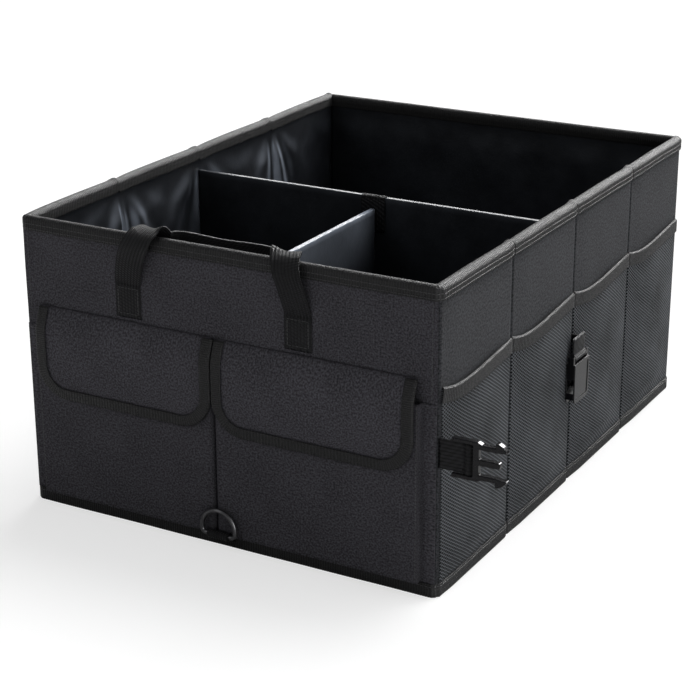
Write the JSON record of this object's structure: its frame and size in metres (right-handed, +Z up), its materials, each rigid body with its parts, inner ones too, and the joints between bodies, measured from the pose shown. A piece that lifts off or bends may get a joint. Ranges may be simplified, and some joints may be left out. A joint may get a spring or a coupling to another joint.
{
  "type": "car storage box",
  "caption": "Collapsible fabric car boot organiser with board-stiffened walls, divided compartments, flapped front pouches, mesh side pockets, webbing handles and a side buckle.",
  "frame": {"origin": "middle of the underside of the base cloth, on the surface that the box stands on", "axes": "+X to the right along the front wall, +Y from the front wall to the rear wall along the long sides, +Z up"},
  "size_m": [0.4512, 0.5446, 0.2743],
  "materials": {
    "front_cloth": "matte",
    "side_cloth": "matte",
    "coated_lining": "satin",
    "stiffener_board": "matte",
    "edge_tape": "matte",
    "pocket_mesh": "matte",
    "webbing": "matte",
    "buckle_plastic": "gloss",
    "ring_metal": "satin"
  },
  "bodies": {
    "box": {"base_cover": "front_cloth", "base_board_front": "stiffener_board", "base_board_rear": "stiffener_board", "base_lining": "coated_lining", "front_cover": "front_cloth", "front_board": "stiffener_board", "front_lining": "coated_lining", "rear_cover": "front_cloth", "rear_board": "stiffener_board", "rear_lining": "coated_lining", "right_cover": "side_cloth", "right_board_1": "stiffener_board", "right_board_2": "stiffener_board", "right_board_3": "stiffener_board", "right_board_4": "stiffener_board", "right_lining": "coated_lining", "left_cover": "side_cloth", "left_board_1": "stiffener_board", "left_board_2": "stiffener_board", "left_board_3": "stiffener_board", "left_board_4": "stiffener_board", "left_lining": "coated_lining", "rim_binding": "edge_tape", "hem_binding": "edge_tape", "cross_divider_cover": "coated_lining", "cross_divider_board": "stiffener_board", "length_divider_cover": "coated_lining", "length_divider_board": "stiffener_board", "divider_tab": "webbing", "pouch_left": "front_cloth", "pouch_right": "front_cloth", "mesh_pocket_1": "pocket_mesh", "mesh_pocket_binding_1": "edge_tape", "mesh_pocket_2": "pocket_mesh", "mesh_pocket_binding_2": "edge_tape", "mesh_pocket_3": "pocket_mesh", "mesh_pocket_binding_3": "edge_tape", "mesh_pocket_4": "pocket_mesh", "mesh_pocket_binding_4": "edge_tape", "d_ring_tab": "webbing", "handle_front": "webbing", "handle_rear": "webbing", "plug_strap": "webbing", "socket_strap": "webbing"},
    "left_flap": {"flap_left": "front_cloth", "flap_left_binding": "edge_tape"},
    "right_flap": {"flap_right": "front_cloth", "flap_right_binding": "edge_tape"},
    "ring": {"d_ring": "ring_metal"},
    "plug": {"buckle_plug": "buckle_plastic"},
    "socket": {"buckle_socket": "buckle_plastic"}
  },
  "joints": [
    {"name": "left_flap_lift", "type": "hinge", "parent": "box", "child": "left_flap", "pos_m": [-0.093, -0.2612, 0.183], "axis": [-1, 0, 0], "range_deg": [0, 110]},
    {"name": "right_flap_lift", "type": "hinge", "parent": "box", "child": "right_flap", "pos_m": [0.0875, -0.2612, 0.183], "axis": [-1, 0, 0], "range_deg": [0, 110]},
    {"name": "ring_swing", "type": "hinge", "parent": "box", "child": "ring", "pos_m": [0, -0.2713, 0.014], "axis": [1, 0, 0], "range_deg": [0, 110]},
    {"name": "plug_swing", "type": "hinge", "parent": "box", "child": "plug", "pos_m": [0.222, -0.2581, 0.125], "axis": [0, 0, 1], "range_deg": [-75, 75]},
    {"name": "socket_swing", "type": "hinge", "parent": "box", "child": "socket", "pos_m": [0.2041, 0, 0.121], "axis": [0, -1, 0], "range_deg": [0, 120]}
  ]
}
